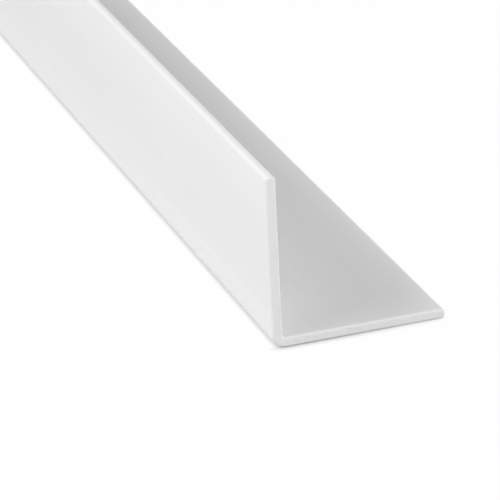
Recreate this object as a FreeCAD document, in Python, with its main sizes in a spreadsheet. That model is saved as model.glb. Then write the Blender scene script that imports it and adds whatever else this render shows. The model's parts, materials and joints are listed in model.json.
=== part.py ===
import FreeCAD, Part
import math
import os

import Sketcher

# Corner guard moulding: one length of white plastic angle with equal legs, extruded in one piece.
# It lies as it rests on a floor, with its foot flat and its upright standing over the heel.
# X runs from the heel to the tip of the foot, Y along the stock and Z up.
# The origin is at floor level, in the middle of the foot's width and of the length.

doc = FreeCAD.newDocument("corner_guard_moulding")

# Driving dimensions in millimetres: name, size, what it measures.
size_rows = [
    ("leg_width", "38.1", "each leg, from the outer heel face to the end of its tip"),
    ("wall", "2.2", "thickness of both legs, and of the bend between them"),
    ("root_radius", "0.5", "hollow in the inside corner, where the wall's arris sits"),
    ("stock_length", "1219.2", "cut length of the piece"),
    ("cut_edge_radius", "0.5", "small round along the edges of both sawn ends"),
]

sizes = doc.addObject("Spreadsheet::Sheet", "Sizes")
for row, (name, size, meaning) in enumerate(size_rows, start=1):
    sizes.set(f"A{row}", name)
    sizes.set(f"B{row}", size)
    sizes.setAlias(f"B{row}", name)
    sizes.set(f"C{row}", meaning)
doc.recompute()


def origin_plane(body, role):
    return next(feature for feature in body.Origin.OriginFeatures if feature.Role == role)


def draw_section(body):
    """The die's outline: two legs round one bend, each ending in a full-round tip."""
    leg = sizes.leg_width
    wall = sizes.wall
    root_radius = sizes.root_radius

    heel_x = -leg / 2
    tip_radius = wall / 2
    heel_radius = root_radius + wall
    bend = FreeCAD.Vector(heel_x + heel_radius, heel_radius, 0)
    foot_nose = FreeCAD.Vector(heel_x + leg - tip_radius, tip_radius, 0)
    upright_nose = FreeCAD.Vector(heel_x + tip_radius, leg - tip_radius, 0)

    def line(x_start, y_start, x_end, y_end):
        return Part.LineSegment(FreeCAD.Vector(x_start, y_start, 0), FreeCAD.Vector(x_end, y_end, 0))

    def arc(centre, radius, start_deg, end_deg):
        circle = Part.Circle(centre, FreeCAD.Vector(0, 0, 1), radius)
        return Part.ArcOfCircle(circle, math.radians(start_deg), math.radians(end_deg))

    sketch = body.newObject("Sketcher::SketchObject", "Section")
    sketch.AttachmentSupport = [(origin_plane(body, "XZ_Plane"), "")]
    sketch.MapMode = "FlatFace"

    underside = sketch.addGeometry(line(bend.x, 0, foot_nose.x, 0))
    foot_tip = sketch.addGeometry(arc(foot_nose, tip_radius, -90, 90))
    foot_inside = sketch.addGeometry(line(foot_nose.x, wall, bend.x, wall))
    root = sketch.addGeometry(arc(bend, root_radius, 180, 270))
    upright_inside = sketch.addGeometry(line(heel_x + wall, bend.y, heel_x + wall, upright_nose.y))
    upright_tip = sketch.addGeometry(arc(upright_nose, tip_radius, 0, 180))
    upright_outside = sketch.addGeometry(line(heel_x, upright_nose.y, heel_x, bend.y))
    heel = sketch.addGeometry(arc(bend, heel_radius, 180, 270))

    start, end, centre = 1, 2, 3
    x_axis, origin = -1, (-1, 1)

    # Every arc runs smoothly into the flats on both sides of it.
    for joint in (
        (underside, end, foot_tip, start),
        (foot_tip, end, foot_inside, start),
        (foot_inside, end, root, end),
        (root, start, upright_inside, start),
        (upright_inside, end, upright_tip, start),
        (upright_tip, end, upright_outside, start),
        (upright_outside, end, heel, start),
        (heel, end, underside, start),
    ):
        sketch.addConstraint(Sketcher.Constraint("Tangent", *joint))
    for flat in (underside, foot_inside):
        sketch.addConstraint(Sketcher.Constraint("Horizontal", flat))
    for flat in (upright_inside, upright_outside):
        sketch.addConstraint(Sketcher.Constraint("Vertical", flat))

    # The heel and the root share one centre, so the wall keeps its thickness round the bend.
    sketch.addConstraint(Sketcher.Constraint("Coincident", heel, centre, root, centre))
    sketch.addConstraint(Sketcher.Constraint("PointOnObject", underside, start, x_axis))

    def drive(name, expression, kind, *where):
        index = sketch.addConstraint(Sketcher.Constraint(kind, *where))
        sketch.renameConstraint(index, name)
        sketch.setExpression(f"Constraints.{name}", expression)

    to_nose = "Sizes.leg_width - Sizes.wall / 2"
    drive("wall", "Sizes.wall", "DistanceY", underside, end, foot_inside, start, wall)
    drive("root_radius", "Sizes.root_radius", "Radius", root, root_radius)
    drive("heel_offset", "Sizes.leg_width / 2", "DistanceX", upright_outside, end, *origin, leg / 2)
    drive("foot_reach", to_nose, "DistanceX", upright_outside, end, foot_tip, centre, leg - tip_radius)
    drive("upright_reach", to_nose, "DistanceY", underside, start, upright_tip, centre, leg - tip_radius)
    return sketch


def sawn_faces(stock):
    along = FreeCAD.Vector(0, 1, 0)
    return [
        f"Face{number}"
        for number, face in enumerate(stock.Shape.Faces, start=1)
        if face.Surface.TypeId == "Part::GeomPlane" and face.Surface.Axis.cross(along).Length < 1e-6
    ]


def extrude_stock():
    """The whole piece: its section drawn out equally to both sides of the middle, then cut square."""
    body = doc.addObject("PartDesign::Body", "corner_guard")
    body.Label = "corner_guard"
    stock = body.newObject("PartDesign::Pad", "Stock")
    stock.Profile = draw_section(body)
    stock.SideType = "Symmetric"
    stock.setExpression("Length", "Sizes.stock_length")
    doc.recompute()

    cut_edges = body.newObject("PartDesign::Fillet", "CutEdges")
    cut_edges.Base = (stock, sawn_faces(stock))
    cut_edges.setExpression("Radius", "Sizes.cut_edge_radius")
    return body


def check_document(bodies):
    for thing in doc.Objects:
        if "Invalid" in thing.State or "Error" in thing.State:
            raise RuntimeError(f"{thing.Label} failed: {thing.State}")
    for body in bodies:
        if body.Shape.isNull() or not body.Shape.isValid():
            raise RuntimeError(f"{body.Label} has no valid shape")


bodies = [extrude_stock()]
doc.recompute()
check_document(bodies)

os.makedirs("parts", exist_ok=True)
for body in bodies:
    body.Shape.exportStep(os.path.join("parts", f"{body.Label}.step"))
    box = body.Shape.optimalBoundingBox()
    print(f"{body.Label}: {box.XLength:.2f} x {box.YLength:.2f} x {box.ZLength:.2f} mm,"
          f" {body.Shape.Volume / 1000:.2f} cm3")
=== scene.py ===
import json
import math

import bpy
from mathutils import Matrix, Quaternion, Vector


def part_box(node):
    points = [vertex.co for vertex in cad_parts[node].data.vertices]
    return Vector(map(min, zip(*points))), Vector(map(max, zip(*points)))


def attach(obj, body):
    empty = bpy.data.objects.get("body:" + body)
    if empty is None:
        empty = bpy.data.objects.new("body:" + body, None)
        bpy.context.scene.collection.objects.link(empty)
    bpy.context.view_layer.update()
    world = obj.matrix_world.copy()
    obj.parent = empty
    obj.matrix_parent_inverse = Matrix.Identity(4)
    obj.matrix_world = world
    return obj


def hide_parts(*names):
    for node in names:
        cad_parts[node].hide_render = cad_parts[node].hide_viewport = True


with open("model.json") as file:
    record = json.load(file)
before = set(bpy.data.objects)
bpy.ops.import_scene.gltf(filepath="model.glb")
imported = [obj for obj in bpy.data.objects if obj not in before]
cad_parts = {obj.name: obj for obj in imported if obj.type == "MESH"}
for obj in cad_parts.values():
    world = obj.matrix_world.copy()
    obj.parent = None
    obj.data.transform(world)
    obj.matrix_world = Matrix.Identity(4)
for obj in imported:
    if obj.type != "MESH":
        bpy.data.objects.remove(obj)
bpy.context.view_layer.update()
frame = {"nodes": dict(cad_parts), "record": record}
print("frame loaded:", ", ".join(sorted(frame["nodes"])))


# a socket that takes Python arithmetic; each sign adds one Math node
class Link:
    def __init__(self, look, socket):
        self.look, self.socket = look, socket

    def maths(self, operation, first, second=0.0):
        return self.look.node("ShaderNodeMath", {"operation": operation}, {0: first, 1: second})

    def __add__(self, other):
        return self.maths("ADD", self, other)

    def __sub__(self, other):
        return self.maths("SUBTRACT", self, other)

    def __rsub__(self, other):
        return self.maths("SUBTRACT", other, self)

    def __mul__(self, other):
        return self.maths("MULTIPLY", self, other)

    def __abs__(self):
        return self.maths("ABSOLUTE", self)

    def larger(self, other):
        return self.maths("MAXIMUM", self, other)

    __radd__ = __add__
    __rmul__ = __mul__


# node tree of a material or a world, emptied
class Look:
    def __init__(self, owner):
        owner.use_nodes = True
        self.nodes, self.links = owner.node_tree.nodes, owner.node_tree.links
        self.nodes.clear()

    def node(self, kind, settings, sockets, out=0):
        made = self.nodes.new(kind)
        for name, setting in settings.items():
            setattr(made, name, setting)
        for name, value in sockets.items():
            if isinstance(value, Link):
                self.links.new(value.socket, made.inputs[name])
            else:
                made.inputs[name].default_value = value
        return Link(self, made.outputs[out]) if made.outputs else None

    def place(self):
        return self.node("ShaderNodeTexCoord", {}, {}, out="Object")

    def axes(self, vector, names):
        return [self.node("ShaderNodeSeparateXYZ", {}, {"Vector": vector}, out=name) for name in names]

    def times(self, vector, factors):
        return self.node("ShaderNodeVectorMath", {"operation": "MULTIPLY"}, {0: vector, 1: factors})

    def noise(self, vector, size, detail, roughness=0.5):
        return self.node("ShaderNodeTexNoise", {}, {
            "Vector": vector, "Scale": 1 / size, "Detail": detail, "Roughness": roughness})

    def ramp(self, value, low, high):
        return self.node("ShaderNodeMapRange", {"interpolation_type": "SMOOTHSTEP"}, {
            "Value": value, "From Min": low, "From Max": high})

    def tint(self, share, first, second):
        return self.node("ShaderNodeMix", {"data_type": "RGBA"}, {0: share, 6: first, 7: second}, out=2)


# the one length of angle, on the solid's own section
guard = {
    "rootRadius": 0.0005,  # hollow of the inside corner
    "cutEdge": 0.0005,  # round along the sawn edges
    "bendSteps": 14,  # facets round the heel and the root
    "noseSteps": 20,  # facets round a full-round tip
    "cutSteps": 6,  # facets over a sawn edge
    "lengthSteps": 40,
}


def sectionPoints(leg, wall):
    # each arc: centre, radius (minus where it is hollow), first and last angle, facets
    root, nose = guard["rootRadius"], wall / 2
    bend = Vector((root + wall - leg / 2, root + wall))
    arcs = (
        (bend, root + wall, 180, 270, guard["bendSteps"]),  # heel
        (Vector((leg / 2 - nose, nose)), nose, -90, 90, guard["noseSteps"]),  # tip of the foot
        (bend, -root, 270, 180, guard["bendSteps"]),  # root
        (Vector((nose - leg / 2, leg - nose)), nose, 0, 180, guard["noseSteps"]),  # tip of the upright
    )
    points = []
    for centre, radius, first, last, steps in arcs:
        for step in range(steps + 1):
            angle = math.radians(first + (last - first) * step / steps)
            outward = Vector((math.cos(angle), math.sin(angle)))
            points.append((centre + abs(radius) * outward, outward if radius > 0 else -outward))
    return points


def ringStations(half):
    # place along the stock, how far the ring is drawn in, and the lean of its normals
    cut, steps, length = guard["cutEdge"], guard["cutSteps"], guard["lengthSteps"]
    rounded = []
    for step in range(steps + 1):
        lean = math.radians(90 * (1 - step / steps))
        rounded.append((half - cut * (1 - math.sin(lean)), cut * (1 - math.cos(lean)), lean))
    near = [(-y, inset, -lean) for y, inset, lean in rounded]
    reach = half - cut
    along = [(reach * (2 * step / length - 1), 0.0, 0.0) for step in range(1, length)]
    return near + along + rounded[::-1]


def ringFaces(count, rings):
    last = count * rings - 1
    faces = [tuple(range(count)), tuple(range(last, last - count, -1))]  # sawn ends
    for start in range(0, count * (rings - 1), count):
        for here in range(count):
            there = (here + 1) % count
            faces.append((start + here, start + count + here, start + count + there, start + there))
    return faces


def drawGuard(node, wall):
    low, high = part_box(node)
    leg, half = high.x - low.x, (high.y - low.y) / 2
    section, stations = sectionPoints(leg, wall), ringStations(half)
    places, normals = [], []
    for y, inset, lean in stations:
        for point, outward in section:
            drawnIn = point - inset * outward
            places.append((drawnIn.x, y, drawnIn.y))
            normals.append((outward.x * math.cos(lean), math.sin(lean), outward.y * math.cos(lean)))
    faces = ringFaces(len(section), len(stations))
    mesh = bpy.data.meshes.new("angleStock")
    mesh.from_pydata(places, [], faces)
    mesh.validate()
    mesh.polygons.foreach_set("use_smooth", [True] * len(mesh.polygons))
    mesh.normals_split_custom_set_from_vertices(normals)
    angle = bpy.data.objects.new("angle_stock", mesh)
    bpy.context.scene.collection.objects.link(angle)
    print("angle stock:", len(places), "points,", len(faces), "faces")
    return angle, leg, half


# satin white PVC: faint lines from the die, a soft haze, painted shade dulling the middle of each leg so the
# heel and tips read lighter, sawn ends
pvc = {
    "white": (0.892, 0.885, 0.888, 1),
    "dull": (0.83, 0.823, 0.827, 1),
    "evenDull": 0.25,  # share of the dull white everywhere
    "ior": 1.53,
    "roughness": 0.34,
    "glow": 0.0004,  # how far light wanders inside
    "glowShare": 0.3,
    "dieLine": 0.0012,  # width of a drawn line
    "dieRun": 260,  # how many times longer it is
    "lineDepth": 0.000012,
    "lineDull": 0.9,
    "lineRough": 0.06,
    "haze": 0.035,  # width of a cloud
    "hazeRun": 10 / 3,  # how many times longer it is
    "hazeDull": 0.6,
    "hazeRough": 0.12,
    # painted shade along the middle of each leg: where it rises, where it falls, and how much dull white it
    # adds
    "rubStart": (0.1, 0.42),  # shares of the way from the heel to a tip
    "rubEnd": (0.58, 1.0),
    "rubDull": 0.5,
    "sawnBlend": (0.6, 0.1),  # where the sawn finish comes in, as shares of the cut edge's round
    "sawnRough": 0.18,
    "sawPitch": 0.0007,  # from one saw mark to the next
    "sawAxle": (-0.11, 0.0, -0.09),  # the blade turned about this point
    "sawWander": 1.2,
    "sawDepth": 0.00002,
}


def sawMarks(look, place):
    fromAxle = look.node("ShaderNodeVectorMath", {"operation": "SUBTRACT"}, {0: place, 1: pvc["sawAxle"]})
    return look.node("ShaderNodeTexWave", {"wave_type": "RINGS", "rings_direction": "Y"}, {
        "Vector": fromAxle, "Scale": math.pi / 10 / pvc["sawPitch"], "Distortion": pvc["sawWander"],
        "Detail": 2, "Detail Scale": 0.02}, out=1)


def pvcFinish(leg, half):
    finish = bpy.data.materials.new("whitePvc")
    look = Look(finish)
    place = look.place()
    x, y, z = look.axes(place, "XYZ")
    lines = look.noise(look.times(place, (1, 1 / pvc["dieRun"], 1)), pvc["dieLine"], detail=3, roughness=0.6)
    haze = look.noise(look.times(place, (1, 1 / pvc["hazeRun"], 1)), pvc["haze"], detail=4)
    sawn = look.ramp(abs(y), *(half - rounds * guard["cutEdge"] for rounds in pvc["sawnBlend"]))
    reach = (x + leg / 2).larger(z) * (1 / leg)  # 0 at the heel, 1 at either tip
    # painted shade: the middle of each leg is drawn duller, leaving the heel and the tips lighter
    shadeBand = look.ramp(reach, *pvc["rubStart"]) * (1 - look.ramp(reach, *pvc["rubEnd"])) * (1 - sawn)
    height = lines * (1 - sawn) * pvc["lineDepth"] + sawMarks(look, place) * sawn * pvc["sawDepth"]
    bump = look.node("ShaderNodeBump", {}, {"Strength": 1.0, "Distance": 1.0, "Height": height})
    line, cloud = lines - 0.5, haze - 0.5  # about the middle of each noise
    share = pvc["evenDull"] + shadeBand * pvc["rubDull"] + cloud * pvc["hazeDull"] + line * pvc["lineDull"]
    rough = cloud * pvc["hazeRough"] + line * pvc["lineRough"] + sawn * pvc["sawnRough"] + pvc["roughness"]
    shader = look.node("ShaderNodeBsdfPrincipled", {}, {
        "Base Color": look.tint(share, pvc["white"], pvc["dull"]), "Roughness": rough, "Normal": bump,
        "IOR": pvc["ior"], "Subsurface Weight": pvc["glowShare"], "Subsurface Radius": (1, 1, 1),
        "Subsurface Scale": pvc["glow"]})
    look.node("ShaderNodeOutputMaterial", {}, {"Surface": shader})
    return finish


def mountHeight(name):
    mount = next(mount for mount in frame["record"]["mounts"] if mount["name"] == name)
    return mount["pos_m"][2]


angle, legWidth, halfLength = drawGuard("corner_guard", mountHeight("foot_inner_face"))
angle.data.materials.append(pvcFinish(legWidth, halfLength))
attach(angle, "root")
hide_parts("corner_guard")


# pale floor, seen as nearly white, keeping a trace of the lit shadow and a painted contact shadow
ground = {
    "reach": 4.0,
    "drop": 0.00005,  # just clear of the underside
    "paper": (0.6, 0.6, 0.6, 1),
    "whiteShare": 0.985,
    "contact": 0.0015,  # the painted contact shadow lies this close to the stock
    "contactEdge": (0.2, 0.7),  # open sky where it is full and where it ends
    "contactWhite": 0.4,  # white that is left in it
    "endContact": 0.003,  # and it reaches this far out from the sawn ends
    "endEdge": (0.45, 0.9),
    "endShade": 0.65,
    "fadeFrom": -0.25,  # it weakens from here to the tip of the foot, in legs from the foot's middle
    "tipFade": 0.75,  # how much of it is gone at the tip
    "skyRays": 8,
}


def seenDirectly(look):
    ways = ("Is Camera Ray", "Is Glossy Ray", "Is Transmission Ray")
    first, second, third = (look.node("ShaderNodeLightPath", {}, {}, out=way) for way in ways)
    return first + second + third


def openSky(look, distance):
    rays = {"samples": ground["skyRays"]}
    return look.node("ShaderNodeAmbientOcclusion", rays, {"Distance": distance}, out="AO")


def paperFinish(leg, half):
    paper = bpy.data.materials.new("paper")
    paper.cycles.emission_sampling = "NONE"  # its white is only for the eye, so no light is sought from it
    look = Look(paper)
    lit = look.node("ShaderNodeBsdfDiffuse", {}, {"Color": ground["paper"]})
    bright = look.node("ShaderNodeEmission", {}, {"Color": (1, 1, 1, 1), "Strength": 1.0})
    x, y = look.axes(look.place(), "XY")
    beyond = look.ramp(abs(y), half - ground["contact"], half)  # out past a sawn end
    fade = 1 - look.ramp(x, ground["fadeFrom"] * leg, leg / 2) * ground["tipFade"]
    # painted shadow: the floor is drawn darker in front of the sawn ends, less so toward the tip of the foot
    endShade = (1 - look.ramp(openSky(look, ground["endContact"]), *ground["endEdge"])) * beyond * fade
    # painted contact shadow: the floor's white gives way to the grey lit paper where the stock closes off
    # the sky
    clear = look.ramp(openSky(look, ground["contact"]), *ground["contactEdge"])
    white = ground["contactWhite"] + clear * (1 - ground["contactWhite"])
    share = seenDirectly(look) * white * (1 - endShade * ground["endShade"]) * ground["whiteShare"]
    look.node("ShaderNodeOutputMaterial", {}, {
        "Surface": look.node("ShaderNodeMixShader", {}, {0: share, 1: lit, 2: bright})})
    return paper


def layFloor(finish):
    reach, z = ground["reach"], -ground["drop"]
    corners = [(-reach, -reach, z), (reach, -reach, z), (reach, reach, z), (-reach, reach, z)]
    mesh = bpy.data.meshes.new("floor")
    mesh.from_pydata(corners, [], [(0, 1, 2, 3)])
    mesh.materials.append(finish)
    floor = bpy.data.objects.new("floor", mesh)
    bpy.context.scene.collection.objects.link(floor)
    print("floor laid")


# studio: an even white room, a long softbox along each side, and three small ones round each sawn end
room = {"ambient": 0.17}  # what the walls give, with 1 as white
longBoxes = {
    "left": {"at": (-0.893, -0.25, 0.867), "aim": (0, -0.45, 0.02), "size": (1.5, 0.16), "watts": 9.5},
    "right": {"at": (1.17, -0.1, 0.27), "aim": (0, -0.1, 0.02), "size": (1.6, 0.4), "watts": 3.0},
}
endBoxes = {
    "heel": {"at": (-0.48, -0.69, 0.15), "aim": (0, -0.61, 0.02), "size": (0.4, 0.2), "watts": 0.53},
    "front": {"at": (0, -1.32, 0.73), "aim": (0, -0.61, 0.02), "size": (0.6, 0.4), "watts": 3.2},
    "rim": {"at": (0.55, -1.12, 0.15), "aim": (0, -0.61, 0.02), "size": (0.4, 0.25), "watts": 1.85},
}


def hangBox(name, box, flip=1):
    at, aim = (Vector((x, y * flip, z)) for x, y, z in (box["at"], box["aim"]))
    lamp = bpy.data.lights.new(name + "Box", "AREA")
    lamp.shape, lamp.energy = "RECTANGLE", box["watts"]
    lamp.size, lamp.size_y = box["size"]
    stand = bpy.data.objects.new(name + "Box", lamp)
    stand.location = at
    stand.rotation_mode = "QUATERNION"
    stand.rotation_quaternion = (aim - at).to_track_quat("-Z", "Y")
    stand.visible_glossy = flip > 0  # the far twins give no glare
    bpy.context.scene.collection.objects.link(stand)


def lightRoom():
    world = bpy.data.worlds.new("room")
    bpy.context.scene.world = world
    look = Look(world)
    strength = room["ambient"] + seenDirectly(look) * (1 - room["ambient"])
    sky = look.node("ShaderNodeBackground", {}, {"Color": (1, 1, 1, 1), "Strength": strength})
    look.node("ShaderNodeOutputWorld", {}, {"Surface": sky})
    for name, box in longBoxes.items():
        hangBox(name, box)
    for name, box in endBoxes.items():
        hangBox(name, box)
        hangBox("far" + name.capitalize(), box, flip=-1)  # its twin at the far end
    print("lights:", ", ".join([*longBoxes, *endBoxes]))


# long lens from the heel side, a little above and in front of the near end
shot = {
    "eye": (-0.22694, -1.24037, 0.30101),
    "azimuth": -17.912,
    "elevation": 22.754,
    "roll": -2.867,
    "lens": 254.89,
    "sensor": 36,
    "clip": (0.01, 50),
}


def setCamera():
    turn, rise = math.radians(shot["azimuth"]), math.radians(shot["elevation"])
    back = Vector((math.sin(turn) * math.cos(rise), -math.cos(turn) * math.cos(rise), math.sin(rise)))
    roll = Quaternion((0, 0, 1), math.radians(shot["roll"]))
    lens = bpy.data.cameras.new("camera")
    lens.lens, lens.sensor_width, lens.sensor_fit = shot["lens"], shot["sensor"], "HORIZONTAL"
    lens.clip_start, lens.clip_end = shot["clip"]
    camera = bpy.data.objects.new("camera", lens)
    camera.location = shot["eye"]
    camera.rotation_mode = "QUATERNION"
    camera.rotation_quaternion = (-back).to_track_quat("-Z", "Y") @ roll
    bpy.context.scene.collection.objects.link(camera)
    bpy.context.scene.camera = camera
    print("camera set")


layFloor(paperFinish(legWidth, halfLength))
lightRoom()
setCamera()
bpy.context.scene.view_settings.view_transform = "Standard"
